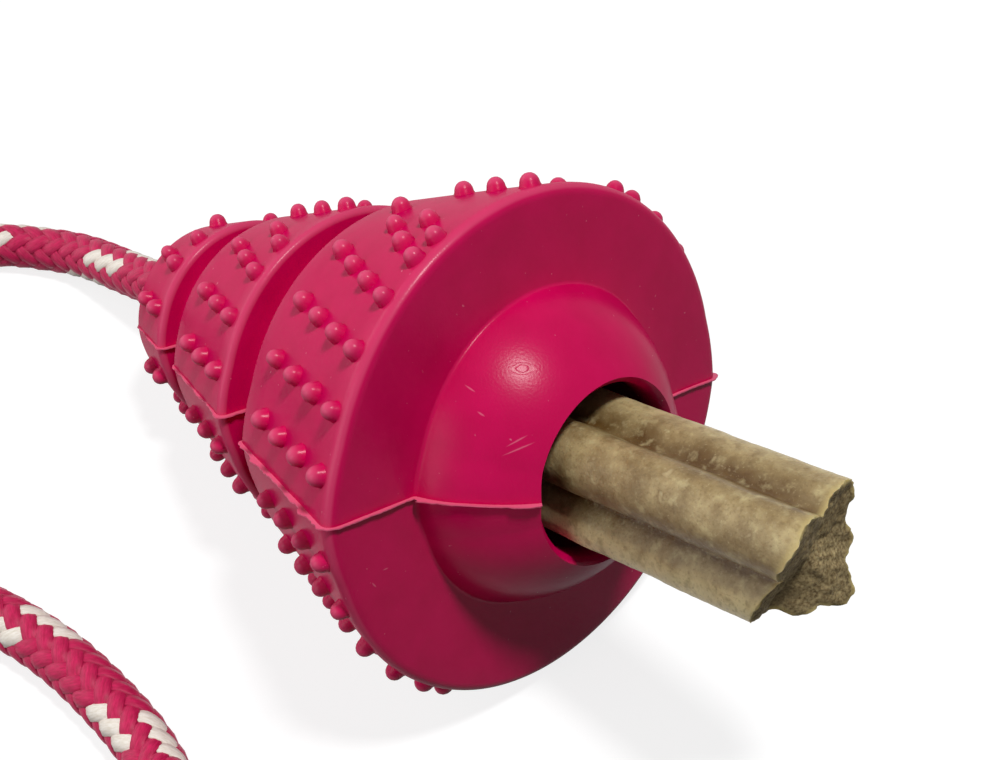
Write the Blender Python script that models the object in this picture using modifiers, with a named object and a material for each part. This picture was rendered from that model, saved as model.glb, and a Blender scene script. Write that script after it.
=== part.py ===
import math

import bmesh
import bpy
from mathutils import Matrix, Vector

# Rubber cone, in metres. Depths are measured along its axis from the flat mouth face towards the nose.
rim_radius = 0.035
rim_rounding = 0.0025
cone_length = 0.0786
nose_radius = 0.0134
nose_rounding = 0.0008
edge_rounding = 0.0009
rim_stage_length = 0.0282
near_groove_width = 0.0091
near_groove_floor_radius = 0.0188
far_groove_width = 0.0077
far_groove_floor_radius = 0.0128
nose_stage_length = 0.0125
dome_base_radius = 0.0217
dome_height = 0.0116
mouth_radius = 0.01165
mouth_lip = 0.0008
mouth_taper_depth = 0.013
bore_depth = 0.050
cone_steps = 48
rounding_steps = 3
dome_steps = 6

# Nubs: low points in rows that keep an even pitch along the skin, counted from the mould's parting plane.
nub_root_radius = 0.0024
nub_root = 0.0012
nub_shoulder_radius = 0.00135
nub_shoulder_height = 0.0013
nub_tip_radius = 0.0006
nub_height = 0.0021
nub_row_offset = 0.0054
nub_row_pitch = 0.0076
nub_sides = 6
nub_edge_share = 0.45
nub_middle_share = 0.9
rim_nub_inset = 0.0045
rim_nub_pitch = 0.0062
middle_nub_inset = 0.0036
middle_nub_pitch = 0.0054
nose_nub_inset = 0.0029
nose_nub_pitch = 0.0048
nub_end_margin = 0.0045

# How the toy lies: on one side of its flank, with the tips of the nubs worn flat where they meet the floor.
flat_on_tips = 0.0004
mould_roll = math.radians(14.9)
floor_cutter_size = 0.3

# Treat stick: a ridged section, as the angle round the cone's axis and the share of the stick's radius.
stick_radius = 0.0098
stick_clearance = 0.0003
stick_reach = 0.0425
stick_steps = 72
section_shares = (
    (20, 0.71),
    (52, 1.0),
    (93, 0.68),
    (138, 1.0),
    (182, 0.6),
    (234, 1.0),
    (258, 0.8),
    (274, 0.89),
    (289, 0.8),
    (310, 1.0),
    (337, 0.67),
    (357, 0.79),
)
# The broken end: how far each side of it stands out or back, as a share of the stick's radius.
break_shares = (
    (20, 0.02),
    (66, 0.13),
    (95, 0.17),
    (139, 0.38),
    (183, 0.1),
    (246, -0.4),
    (272, -0.15),
    (306, 0.18),
    (340, 0.1),
)
break_rings = (0.36, 0.72)
break_middle_share = -0.04

# Rope
rope_radius = 0.004
rope_clearance = 0.0003
rope_stub = 0.004
rope_rest_height = 0.0040
rope_sides = 3
stopper_knot_radius = 0.0095
stopper_knot_length = 0.0175
stopper_knot_steps = 24
stopper_knot_rings = 7
tail_length = 0.021
piece_gap = 0.0003
route_spacing = 0.016

# The rope's route: how far each point lies from the nose, along and across, and its height over the floor.
rope_route = (
    (-0.0130, 0.0000, 0.0109),
    (-0.0250, -0.0001, 0.0078),
    (-0.0365, -0.0007, 0.0050),
    (-0.0443, -0.0037, 0.0041),
    (-0.0520, -0.0094, 0.0040),
    (-0.0605, -0.0200, 0.0040),
    (-0.0640, -0.0340, 0.0040),
    (-0.0600, -0.0485, 0.0040),
    (-0.0490, -0.0595, 0.0040),
    (-0.0340, -0.0655, 0.0040),
    (-0.0180, -0.0668, 0.0040),
    (-0.0020, -0.0642, 0.0040),
    (0.0120, -0.0601, 0.0040),
    (0.0254, -0.0562, 0.0040),
    (0.0373, -0.0544, 0.0040),
    (0.0514, -0.0545, 0.0040),
    (0.0610, -0.0562, 0.0046),
    (0.0700, -0.0592, 0.0078),
)
knot_entry = (0.0880, -0.0658)
knot_heading_degrees = -20.2

# End knot, in diameters of its rope: a loose overhand curve, and how it is drawn tight
knot_thinning_share = 0.94
knot_rope_share = 0.95
loose_span_share = 2.12
loose_steps = 40
loose_length_share = 0.13
loose_height_share = 0.6
knot_link_share = 0.36
knot_straight_steps = 6
knot_steps = 1500
knot_pull_steps = 1275
knot_pull_share = 0.014
knot_stretch_share = 1.08
knot_centring_share = 0.9
knot_smoothing_share = 0.1
knot_push_share = 0.4
knot_loop_share = 2.0
knot_near_share = 1.5
knot_touching_share = 1.12
knot_look_steps = 25
knot_spare_steps = 3
knot_floor_gap = 0.0002


def flank_radius(depth):
    return rim_radius - depth * (rim_radius - nose_radius) / cone_length


def arc(centre, radius, start, end, steps):
    angles = [start + (end - start) * i / steps for i in range(steps + 1)]
    return [(centre[0] + radius * math.cos(a), centre[1] + radius * math.sin(a)) for a in angles]


taper = math.atan((rim_radius - nose_radius) / cone_length)
near_groove_end = rim_stage_length + near_groove_width
far_groove_end = cone_length - nose_stage_length
far_groove_start = far_groove_end - far_groove_width
bore_radius = stick_radius + stick_clearance
rope_hole_radius = rope_radius + rope_clearance
rest_height = rim_radius * math.cos(taper) + nub_height - flat_on_tips


def clear_scene():
    for item in list(bpy.data.objects):
        bpy.data.objects.remove(item, do_unlink=True)


def make_collection(name):
    collection = bpy.data.collections.new(name)
    bpy.context.scene.collection.children.link(collection)
    return collection


def make_material(name, colour, roughness):
    material = bpy.data.materials.new(name)
    material.use_nodes = True
    shader = material.node_tree.nodes["Principled BSDF"]
    shader.inputs["Base Color"].default_value = (*colour, 1.0)
    shader.inputs["Roughness"].default_value = roughness
    shader.inputs["Metallic"].default_value = 0.0
    return material


def add_object(name, data, collection, parent, material=None):
    item = bpy.data.objects.new(name, data)
    collection.objects.link(item)
    item.parent = parent
    if material:
        data.materials.append(material)
    return item


def add_turned(name, profile, closed, steps, collection, parent, material):
    # An outline in the XZ plane, turned about Z. It runs down its outer side.
    mesh = bpy.data.meshes.new(name)
    points = [(radius, 0.0, height) for radius, height in profile]
    edges = [(i, i + 1) for i in range(len(points) - 1)]
    if closed:
        edges.append((len(points) - 1, 0))
    mesh.from_pydata(points, edges, [])
    item = add_object(name, mesh, collection, parent, material)
    screw = item.modifiers.new("turn", "SCREW")
    screw.steps = steps
    screw.render_steps = steps
    screw.use_merge_vertices = True
    screw.merge_threshold = 0.00001
    return item


def cone_profile():
    # Down the outer side: dome, mouth face, rounded rim and three stages of one taper, then up the inside.
    lip_radius = mouth_radius + mouth_lip
    dome_centre = (dome_height**2 + lip_radius**2 - dome_base_radius**2) / (2 * dome_height)
    dome_radius = math.hypot(dome_base_radius, dome_centre)
    start = math.atan2(dome_height - dome_centre, lip_radius)
    end = math.atan2(-dome_centre, dome_base_radius)
    profile = arc((0.0, dome_centre), dome_radius, start, end, dome_steps)
    rim_centre = (flank_radius(rim_rounding) - rim_rounding, -rim_rounding)
    profile += arc(rim_centre, rim_rounding, math.pi / 2, 0.0, rounding_steps)
    grooves = (
        (rim_stage_length, near_groove_end, near_groove_floor_radius),
        (far_groove_start, far_groove_end, far_groove_floor_radius),
    )
    for groove_start, groove_end, floor_radius in grooves:
        edge = flank_radius(groove_start)
        profile.append((flank_radius(groove_start - edge_rounding), edge_rounding - groove_start))
        profile.append((edge - edge_rounding, -groove_start))
        profile.append((floor_radius + edge_rounding, -groove_start))
        profile.append((floor_radius, -groove_start - edge_rounding))
        profile.append((floor_radius, edge_rounding - groove_end))
        profile.append((floor_radius + edge_rounding, -groove_end))
        far_edge = flank_radius(groove_end)
        profile.append((far_edge - edge_rounding, -groove_end))
        profile.append((flank_radius(groove_end + edge_rounding), -groove_end - edge_rounding))
    profile.append((flank_radius(cone_length - nose_rounding), nose_rounding - cone_length))
    profile.append((nose_radius - nose_rounding, -cone_length))
    profile.append((rope_hole_radius, -cone_length))
    profile.append((rope_hole_radius, -bore_depth))
    profile.append((bore_radius, -bore_depth))
    profile.append((bore_radius, dome_height - mouth_taper_depth))
    profile.append((mouth_radius, dome_height - mouth_lip))
    return profile


def nub_places():
    # Rows start from both ends of the parting plane, above and below it, and meet at the top and the bottom.
    stages = (
        (rim_nub_inset, rim_nub_pitch, rim_stage_length),
        (near_groove_end + middle_nub_inset, middle_nub_pitch, far_groove_start),
        (far_groove_end + nose_nub_inset, nose_nub_pitch, cone_length),
    )
    places = []
    for depth, pitch, stage_end in stages:
        while depth <= stage_end - nub_end_margin:
            radius = flank_radius(depth)
            quarter = math.pi / 2 * radius
            along = nub_row_offset
            while along <= quarter - nub_row_pitch * nub_edge_share:
                angle = along / radius
                for side in (angle, math.pi - angle, math.pi + angle, -angle):
                    places.append((depth, side))
                along += nub_row_pitch
            if quarter - (along - nub_row_pitch) >= nub_row_pitch * nub_middle_share:
                places.append((depth, math.pi / 2))
                places.append((depth, -math.pi / 2))
            depth += pitch
    return places


def nub_mesh():
    # One nub stands on the origin, along +Z, with its root sunk into the rubber.
    mesh = bpy.data.meshes.new("nub")
    shape = bmesh.new()
    levels = (
        (nub_root_radius, -nub_root),
        (nub_shoulder_radius, nub_shoulder_height),
        (nub_tip_radius, nub_height),
    )
    rings = []
    for radius, height in levels:
        ring = []
        for i in range(nub_sides):
            angle = 2 * math.pi * i / nub_sides
            ring.append(shape.verts.new((radius * math.cos(angle), radius * math.sin(angle), height)))
        rings.append(ring)
    for lower, upper in zip(rings, rings[1:]):
        for i in range(nub_sides):
            j = (i + 1) % nub_sides
            shape.faces.new((lower[i], lower[j], upper[j], upper[i]))
    shape.faces.new(rings[-1])
    shape.faces.new(list(reversed(rings[0])))
    shape.to_mesh(mesh)
    shape.free()
    return mesh


def add_nub_stock(collection, parent):
    single = nub_mesh()
    stock = bmesh.new()
    for depth, angle in nub_places():
        outward = Vector((math.cos(taper), 0.0, -math.sin(taper)))
        turn = Matrix.Rotation(angle, 4, "Z")
        stand = outward.to_track_quat("Z", "Y").to_matrix().to_4x4()
        place = Matrix.Translation((flank_radius(depth), 0.0, -depth))
        copy = single.copy()
        copy.transform(turn @ place @ stand)
        stock.from_mesh(copy)
        bpy.data.meshes.remove(copy)
    mesh = bpy.data.meshes.new("nub_stock")
    stock.to_mesh(mesh)
    stock.free()
    bpy.data.meshes.remove(single)
    return add_guide("nub_stock", mesh, collection, parent)


def add_guide(name, mesh, collection, parent):
    guide = add_object(name, mesh, collection, parent)
    guide.hide_render = True
    guide.display_type = "WIRE"
    return guide


def add_floor_cutter(collection):
    mesh = bpy.data.meshes.new("floor_cutter")
    block = bmesh.new()
    bmesh.ops.create_cube(block, size=floor_cutter_size)
    bmesh.ops.translate(block, verts=block.verts, vec=(0.0, 0.0, -floor_cutter_size / 2))
    block.to_mesh(mesh)
    block.free()
    return add_guide("floor_cutter", mesh, collection, None)


def combine(item, other, operation):
    boolean = item.modifiers.new(other.name, "BOOLEAN")
    boolean.operation = operation
    boolean.object = other
    boolean.solver = "EXACT"


def smooth_share(table, angle):
    # A smooth closed curve through the table's shares, read at any angle in degrees.
    count = len(table)
    angle = angle % 360
    last = count - 1
    for i in range(count):
        if angle >= table[i][0]:
            last = i
    if angle < table[0][0]:
        last = count - 1
    knots = []
    for offset in (-1, 0, 1, 2):
        turns, index = divmod(last + offset, count)
        knots.append((table[index][0] + 360 * turns, table[index][1]))
    if angle < knots[1][0]:
        angle += 360
    share = (angle - knots[1][0]) / (knots[2][0] - knots[1][0])
    before = (knots[2][1] - knots[0][1]) / (knots[2][0] - knots[0][0])
    after = (knots[3][1] - knots[1][1]) / (knots[3][0] - knots[1][0])
    span = knots[2][0] - knots[1][0]
    value = knots[1][1] * (2 * share**3 - 3 * share**2 + 1)
    value += before * span * (share**3 - 2 * share**2 + share)
    value += knots[2][1] * (3 * share**2 - 2 * share**3)
    value += after * span * (share**3 - share**2)
    return value


def add_treat_stick(collection, parent, material):
    inner_end = -bore_depth + stopper_knot_length + 2 * piece_gap
    mesh = bpy.data.meshes.new("treat_stick")
    shape = bmesh.new()
    angles = [360 * i / stick_steps for i in range(stick_steps)]
    outline = [smooth_share(section_shares, angle) * stick_radius for angle in angles]
    rises = [smooth_share(break_shares, angle) * stick_radius for angle in angles]

    def ring(share, rise_share, height):
        verts = []
        for angle, radius, rise in zip(angles, outline, rises):
            turn = math.radians(angle)
            place = (
                share * radius * math.cos(turn),
                share * radius * math.sin(turn),
                height + rise_share * rise,
            )
            verts.append(shape.verts.new(place))
        return verts

    middle = stick_reach + break_middle_share * stick_radius
    rings = [ring(1.0, 0.0, inner_end), ring(1.0, 1.0, stick_reach)]
    for share in reversed(break_rings):
        rings.append(ring(share, share, middle + (stick_reach - middle) * share))
    for lower, upper in zip(rings, rings[1:]):
        for i in range(stick_steps):
            j = (i + 1) % stick_steps
            shape.faces.new((lower[i], lower[j], upper[j], upper[i]))
    tip = shape.verts.new((0.0, 0.0, middle))
    for i in range(stick_steps):
        shape.faces.new((rings[-1][i], rings[-1][(i + 1) % stick_steps], tip))
    shape.faces.new(list(reversed(rings[0])))
    shape.to_mesh(mesh)
    shape.free()
    return add_object("treat_stick", mesh, collection, parent, material)


def stopper_knot_profile(radius, length, neck):
    # The knot that the bore squeezes: a rounded lump with flat ends where the rope enters and leaves.
    profile = []
    for i in range(stopper_knot_rings + 1):
        share = i / stopper_knot_rings
        swell = math.sin(math.pi * share) ** 0.6
        profile.append((neck + (radius - neck) * swell, length * (0.5 - share)))
    profile[0] = (neck, length / 2)
    profile[-1] = (neck, -length / 2)
    profile.insert(0, (0.0, length / 2))
    profile.append((0.0, -length / 2))
    return profile


def smooth_route(points, spacing):
    # A smooth curve through the points, read again at an even spacing.
    fine = []
    last = len(points) - 1
    samples = 24
    for i in range(last):
        before = points[max(i - 1, 0)]
        start = points[i]
        end = points[i + 1]
        after = points[min(i + 2, last)]
        for step in range(samples):
            t = step / samples
            value = 2 * start + (end - before) * t
            value += (2 * before - 5 * start + 4 * end - after) * t**2
            value += (3 * start - before - 3 * end + after) * t**3
            fine.append(value / 2)
    fine.append(points[-1])
    lengths = [0.0]
    for a, b in zip(fine, fine[1:]):
        lengths.append(lengths[-1] + (b - a).length)
    count = max(2, round(lengths[-1] / spacing))
    route = []
    index = 0
    for i in range(count + 1):
        wanted = lengths[-1] * i / count
        while index < len(fine) - 2 and lengths[index + 1] < wanted:
            index += 1
        share = (wanted - lengths[index]) / (lengths[index + 1] - lengths[index])
        route.append(fine[index].lerp(fine[index + 1], share))
    return route, lengths[-1]


def loop_pairs(chain, nearest):
    # The links that lie on different loops of the knot and are nearer to each other than this.
    first = math.ceil(knot_loop_share / knot_link_share)
    pairs = []
    for i in range(len(chain)):
        for j in range(i + first, len(chain)):
            if (chain[j] - chain[i]).length < nearest:
                pairs.append((i, j))
    return pairs


def loose_overhand():
    loose = []
    for i in range(loose_steps + 1):
        t = loose_span_share * (2 * i / loose_steps - 1)
        along = (t**5 - 10 * t) * loose_length_share
        loose.append(Vector((along, t**3 - 3 * t, (t**4 - 4 * t**2) * loose_height_share)))
    chain, length = smooth_route(loose, knot_link_share)
    step = Vector((knot_link_share, 0.0, 0.0))
    before = [chain[0] - step * (knot_straight_steps - i) for i in range(knot_straight_steps)]
    after = [chain[-1] + step * (i + 1) for i in range(knot_straight_steps)]
    return before + chain + after


def tight_overhand():
    # The loose knot is pulled by its ends, link by link, while the rope is kept out of itself.
    chain = loose_overhand()
    last = len(chain) - 1
    for turn in range(knot_steps):
        if turn % knot_look_steps == 0:
            pairs = loop_pairs(chain, knot_near_share)
        longest = max((b - a).length for a, b in zip(chain, chain[1:]))
        if longest < knot_stretch_share * knot_link_share and turn < knot_pull_steps:
            for i, way in ((0, -1), (1, -1), (last - 1, 1), (last, 1)):
                chain[i].x += way * knot_pull_share
        for i in (0, 1, last - 1, last):
            chain[i].y *= knot_centring_share
            chain[i].z *= knot_centring_share
        bends = [knot_smoothing_share * (a + c - 2 * b) for a, b, c in zip(chain, chain[1:], chain[2:])]
        for i, bend in enumerate(bends):
            chain[i + 1] += bend
        for sweep in range(3):
            for i in range(last):
                gap = chain[i + 1] - chain[i]
                move = gap * (0.5 * (gap.length - knot_link_share) / gap.length)
                chain[i] += move
                chain[i + 1] -= move
        for i, j in pairs:
            gap = chain[j] - chain[i]
            if gap.length < 1.0:
                push = gap * (knot_push_share * (1.0 - gap.length) / gap.length)
                chain[i] -= push
                chain[j] += push
    touching = sorted({i for pair in loop_pairs(chain, knot_touching_share) for i in pair})
    knot = chain[touching[0] - knot_spare_steps:touching[-1] + 1 + knot_spare_steps]
    # Its first and last links run straight along X, so that the rope meets it squarely.
    knot[0] = knot[1] - Vector((knot_link_share, 0.0, 0.0))
    knot[-1] = knot[-2] + Vector((knot_link_share, 0.0, 0.0))
    return knot


def add_rope(name, points, radius, collection, parent, material):
    curve = bpy.data.curves.new(name, "CURVE")
    curve.dimensions = "3D"
    curve.bevel_depth = radius
    curve.bevel_resolution = rope_sides
    curve.use_fill_caps = True
    spline = curve.splines.new("POLY")
    spline.points.add(len(points) - 1)
    for point, place in zip(spline.points, points):
        point.co = (*place, 1.0)
    return add_object(name, curve, collection, parent, material)


def rope_length(lead, knot_take_up):
    # The stopper knot takes up as much rope as the end knot does.
    return lead + rope_stub + cone_length - bore_depth + tail_length + 2 * knot_take_up


def evaluated_bounds(items):
    bpy.context.view_layer.update()
    graph = bpy.context.evaluated_depsgraph_get()
    places = []
    for item in items:
        shown = item.evaluated_get(graph)
        mesh = shown.to_mesh()
        places += [shown.matrix_world @ vertex.co for vertex in mesh.vertices]
        shown.to_mesh_clear()
    low = Vector([min(place[i] for place in places) for i in range(3)])
    high = Vector([max(place[i] for place in places) for i in range(3)])
    return low, high


def build():
    clear_scene()
    parts = make_collection("rubber_cone_rope_toy")
    cutters = make_collection("cutters")
    rubber = make_material("pink_rubber", (0.56, 0.01, 0.12), 0.42)
    treat = make_material("chew_treat", (0.32, 0.22, 0.09), 0.6)
    cord = make_material("braided_rope", (0.62, 0.05, 0.16), 0.8)

    # The axis frame lies with the flank on the floor: its Z runs from the nose out through the mouth.
    toy = bpy.data.objects.new("toy_frame", None)
    parts.objects.link(toy)
    axis = bpy.data.objects.new("axis_frame", None)
    parts.objects.link(axis)
    axis.parent = toy
    lay = Matrix.Rotation(math.pi / 2 - taper, 4, "Y") @ Matrix.Rotation(math.pi / 2 - mould_roll, 4, "Z")
    axis.matrix_local = Matrix.Translation((0.0, 0.0, rest_height)) @ lay

    cone = add_turned("rubber_cone", cone_profile(), True, cone_steps, parts, axis, rubber)
    nubs = add_nub_stock(cutters, axis)
    combine(nubs, add_floor_cutter(cutters), "DIFFERENCE")
    combine(cone, nubs, "UNION")
    stick = add_treat_stick(parts, axis, treat)

    profile = stopper_knot_profile(stopper_knot_radius, stopper_knot_length, rope_radius)
    stopper = add_turned("rope_stopper_knot", profile, False, stopper_knot_steps, parts, axis, cord)
    stopper.location = (0.0, 0.0, -bore_depth + piece_gap + stopper_knot_length / 2)
    neck_ends = [Vector((0.0, 0.0, -bore_depth)), Vector((0.0, 0.0, -cone_length - rope_stub))]
    neck = add_rope("rope_neck", neck_ends, rope_radius, parts, axis, cord)

    # The free stretch starts in line with the neck and lies on the floor.
    along_axis = Vector((math.cos(taper), 0.0, math.sin(taper)))
    nose = along_axis * -cone_length + Vector((0.0, 0.0, rest_height))
    stub_end = nose - along_axis * (rope_stub + piece_gap)
    nose_on_floor = Vector((nose.x, 0.0, 0.0))
    turn = math.radians(knot_heading_degrees)
    heading = Vector((math.cos(turn), math.sin(turn), 0.0))

    # The end knot lies on the floor, bottom up, and the rope rises to meet it.
    knot_rope = rope_radius * 2 * knot_thinning_share
    knot_radius = knot_rope / 2 * knot_rope_share
    knot = [link * knot_rope for link in tight_overhand()]
    entry_height = max(link.z for link in knot) - knot[0].z + knot_radius + knot_floor_gap
    entry = nose_on_floor + Vector((*knot_entry, entry_height))
    points = [stub_end] + [nose_on_floor + Vector(place) for place in rope_route]
    points += [entry - heading * rope_radius * 2, entry]
    route, length = smooth_route(points, route_spacing)
    route[-2] = entry - heading * rope_radius * 2
    add_rope("rope_lead", route, rope_radius, parts, toy, cord)

    knot_start = entry + heading * piece_gap
    across = Vector((-heading.y, heading.x, 0.0))
    places = []
    for link in knot:
        along = link - knot[0]
        places.append(knot_start + heading * along.x - across * along.y - Vector((0.0, 0.0, along.z)))
    add_rope("rope_end_knot", places, knot_radius, parts, toy, cord)
    tail_start = places[-1] + heading * piece_gap
    tail_drop = Vector((0.0, 0.0, rope_rest_height - tail_start.z))
    tail = [tail_start, tail_start + heading * rope_radius]
    tail.append(tail_start + heading * (tail_length / 2 + rope_radius / 2) + tail_drop / 2)
    tail.append(tail_start + heading * tail_length + tail_drop)
    add_rope("rope_tail", tail, rope_radius, parts, toy, cord)
    knot_take_up = sum((b - a).length for a, b in zip(places, places[1:]))
    whole = rope_length(length, knot_take_up)
    print("rope lead", round(length, 4), "knot", round(knot_take_up, 4), "whole rope", round(whole, 4))

    # The origin is on the floor, under the middle of the toy without its free rope.
    low, high = evaluated_bounds((cone, stick, neck))
    toy.location = (-(low.x + high.x) / 2, -(low.y + high.y) / 2, -low.z)
    bpy.context.view_layer.update()
    cutter = bpy.data.objects["floor_cutter"]
    cutter.location = toy.location
    print("origin shift", [round(value, 5) for value in toy.location])


build()
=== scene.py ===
import math
import random

import bmesh
import bpy
import numpy as np
from mathutils import Matrix, Vector, noise


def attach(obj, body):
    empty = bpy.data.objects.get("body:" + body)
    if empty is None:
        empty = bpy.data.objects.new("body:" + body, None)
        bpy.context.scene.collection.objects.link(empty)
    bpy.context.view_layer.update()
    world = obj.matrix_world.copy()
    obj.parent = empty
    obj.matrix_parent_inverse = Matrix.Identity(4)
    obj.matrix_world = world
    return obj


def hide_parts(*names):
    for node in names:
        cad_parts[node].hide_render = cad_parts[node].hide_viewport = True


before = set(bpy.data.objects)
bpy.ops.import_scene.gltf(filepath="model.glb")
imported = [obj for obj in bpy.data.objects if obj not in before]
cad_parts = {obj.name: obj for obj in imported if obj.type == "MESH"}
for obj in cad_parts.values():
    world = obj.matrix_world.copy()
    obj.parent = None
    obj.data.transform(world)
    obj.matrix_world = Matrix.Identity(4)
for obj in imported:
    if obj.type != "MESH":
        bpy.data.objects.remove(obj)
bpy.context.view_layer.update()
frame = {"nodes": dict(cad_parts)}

print("frame loaded:", ", ".join(frame["nodes"]))

mm = 0.001

# Without a seed the noise vectors would start from the clock, and the surfaces would differ from run to run.
noiseSeed = 3
noise.seed_set(noiseSeed)

# The cone's own frame: its origin is the middle of the mouth's flat face, its Z runs out through the mouth,
# and its X lies in the mould's parting plane.
coneLie = {
    "rimCentre": (17.792 * mm, 0.0, 35.449 * mm),
    "taper": 15.366,
    "mouldRoll": 14.9,
}


def coneMatrix():
    turn = Matrix.Rotation(math.radians(90 - coneLie["taper"]), 4, "Y")
    roll = Matrix.Rotation(math.radians(90 - coneLie["mouldRoll"]), 4, "Z")
    return Matrix.Translation(coneLie["rimCentre"]) @ turn @ roll


coneFrame = coneMatrix()


def addObject(name, data):
    piece = bpy.data.objects.new(name, data)
    bpy.context.scene.collection.objects.link(piece)
    return piece


# Camera

photoCamera = {
    "place": (114.67 * mm, -106.67 * mm, 180.21 * mm),
    "looksAlong": (-0.51521, 0.52317, -0.67886),
    "lens": 56.1,
    "sensorWidth": 36.0,
    "nearest": 5 * mm,
}


def addCamera():
    data = bpy.data.cameras.new("photoCamera")
    data.lens = photoCamera["lens"]
    data.sensor_fit = "HORIZONTAL"
    data.sensor_width = photoCamera["sensorWidth"]
    data.clip_start = photoCamera["nearest"]
    camera = addObject("photoCamera", data)
    camera.location = photoCamera["place"]
    camera.rotation_mode = "QUATERNION"
    camera.rotation_quaternion = Vector(photoCamera["looksAlong"]).to_track_quat("-Z", "Y")
    bpy.context.scene.camera = camera
    print("camera placed")


addCamera()


# Node helpers

def newMaterial(name):
    material = bpy.data.materials.new(name)
    material.use_nodes = True
    nodes = material.node_tree.nodes
    nodes.clear()
    output = nodes.new("ShaderNodeOutputMaterial")
    shader = nodes.new("ShaderNodeBsdfPrincipled")
    material.node_tree.links.new(shader.outputs["BSDF"], output.inputs["Surface"])
    return material, material.node_tree, shader


def feed(tree, sockets, values):
    # Each socket gets a link where its value is another node's output, and else the plain value.
    for socket, value in zip(sockets, values):
        if isinstance(value, bpy.types.NodeSocket):
            tree.links.new(value, socket)
        else:
            socket.default_value = value


def setInputs(tree, node, **values):
    # Sockets by name, with an underscore for each space.
    feed(tree, [node.inputs[key.replace("_", " ")] for key in values], values.values())


def addNode(tree, kind, settings=None, **values):
    node = tree.nodes.new(kind)
    for key, value in (settings or {}).items():
        setattr(node, key, value)
    setInputs(tree, node, **values)
    return node


def addMath(tree, operation, *values):
    node = addNode(tree, "ShaderNodeMath", {"operation": operation})
    feed(tree, node.inputs, values)
    return node.outputs[0]


def mixColours(tree, share, first, second):
    node = addNode(tree, "ShaderNodeMix", {"data_type": "RGBA"})
    feed(tree, (node.inputs[0], node.inputs[6], node.inputs[7]), (share, first, second))
    return node.outputs[2]


def rangeOf(tree, value, low, high, newLow=0.0, newHigh=1.0):
    node = addNode(tree, "ShaderNodeMapRange")
    feed(tree, node.inputs, (value, low, high, newLow, newHigh))
    return node.outputs[0]


def noiseOf(tree, place, scale, detail):
    return addNode(tree, "ShaderNodeTexNoise", Vector=place, Scale=scale, Detail=detail).outputs[0]


def objectPlace(tree):
    return addNode(tree, "ShaderNodeTexCoord").outputs["Object"]


def attributeOf(tree, name):
    return addNode(tree, "ShaderNodeAttribute", {"attribute_name": name}).outputs["Fac"]


def colour(red, green, blue):
    # A colour as a screen shows it, 0 to 255, in the shader's linear light.
    def linear(value):
        value /= 255
        return value / 12.92 if value <= 0.04045 else ((value + 0.055) / 1.055) ** 2.4
    return (linear(red), linear(green), linear(blue), 1.0)


# Shader groups

def makeGroup(name, inputs, outputs):
    group = bpy.data.node_groups.new(name, "ShaderNodeTree")
    for label, kind, value in inputs:
        socket = group.interface.new_socket(label, in_out="INPUT", socket_type=kind)
        socket.default_value = value
    for label, kind in outputs:
        group.interface.new_socket(label, in_out="OUTPUT", socket_type=kind)
    return group, group.nodes.new("NodeGroupInput"), group.nodes.new("NodeGroupOutput")


def makeGrainGroup():
    # Fine and coarse grain on the object's own coordinates: heights, and patches for the tone.
    group, entry, exit = makeGroup(
        "surfaceGrain",
        (("Fine Scale", "NodeSocketFloat", 2000.0), ("Coarse Scale", "NodeSocketFloat", 300.0),
         ("Coarse Share", "NodeSocketFloat", 0.5)),
        (("Height", "NodeSocketFloat"), ("Patches", "NodeSocketFloat")),
    )
    place = objectPlace(group)
    fine = noiseOf(group, place, entry.outputs[0], 3.0)
    coarse = noiseOf(group, place, entry.outputs[1], 4.0)
    height = addMath(group, "ADD", fine, addMath(group, "MULTIPLY", coarse, entry.outputs[2]))
    feed(group, exit.inputs, (height, coarse))
    return group


grainGroup = makeGrainGroup()


def placeGrain(tree, fine, coarse, share):
    node = addNode(tree, "ShaderNodeGroup", {"node_tree": grainGroup})
    feed(tree, node.inputs, (fine, coarse, share))
    return node.outputs[0], node.outputs[1]


def makeMarkGroup():
    # A thin line or a small ring, in coordinates that are already centred and turned to lie along it.
    group, entry, exit = makeGroup(
        "surfaceMark",
        (("Place", "NodeSocketVector", (0.0, 0.0, 0.0)), ("Half Length", "NodeSocketFloat", 0.002),
         ("Half Width", "NodeSocketFloat", 0.0001), ("Ring", "NodeSocketFloat", 0.0)),
        (("Mask", "NodeSocketFloat"),),
    )
    split = addNode(group, "ShaderNodeSeparateXYZ", Vector=entry.outputs[0])
    wander = noiseOf(group, entry.outputs[0], 900.0, 2.0)
    bend = addMath(group, "MULTIPLY", addMath(group, "SUBTRACT", wander, 0.5), entry.outputs[2])
    along = addMath(group, "DIVIDE", split.outputs[0], entry.outputs[1])
    across = addMath(group, "DIVIDE", addMath(group, "ADD", split.outputs[1], bend), entry.outputs[2])
    away = addMath(group, "SQRT", addMath(group, "ADD", addMath(group, "POWER", along, 2.0),
                                          addMath(group, "POWER", across, 2.0)))
    line = addMath(group, "SUBTRACT", 1.0, away)
    ring = addMath(group, "SUBTRACT", 0.3, addMath(group, "ABSOLUTE", addMath(group, "SUBTRACT", away, 0.75)))
    ring = addMath(group, "MULTIPLY", ring, 3.0)
    shape = addNode(group, "ShaderNodeMix", {"data_type": "FLOAT"})
    feed(group, (shape.inputs[0], shape.inputs[2], shape.inputs[3]), (entry.outputs[3], line, ring))
    deep = addMath(group, "COMPARE", split.outputs[2], 0.0, 0.0015)
    mask = addMath(group, "MULTIPLY", rangeOf(group, shape.outputs[0], 0.0, 0.5), deep)
    group.links.new(mask, exit.inputs[0])
    return group


markGroup = makeMarkGroup()

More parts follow.
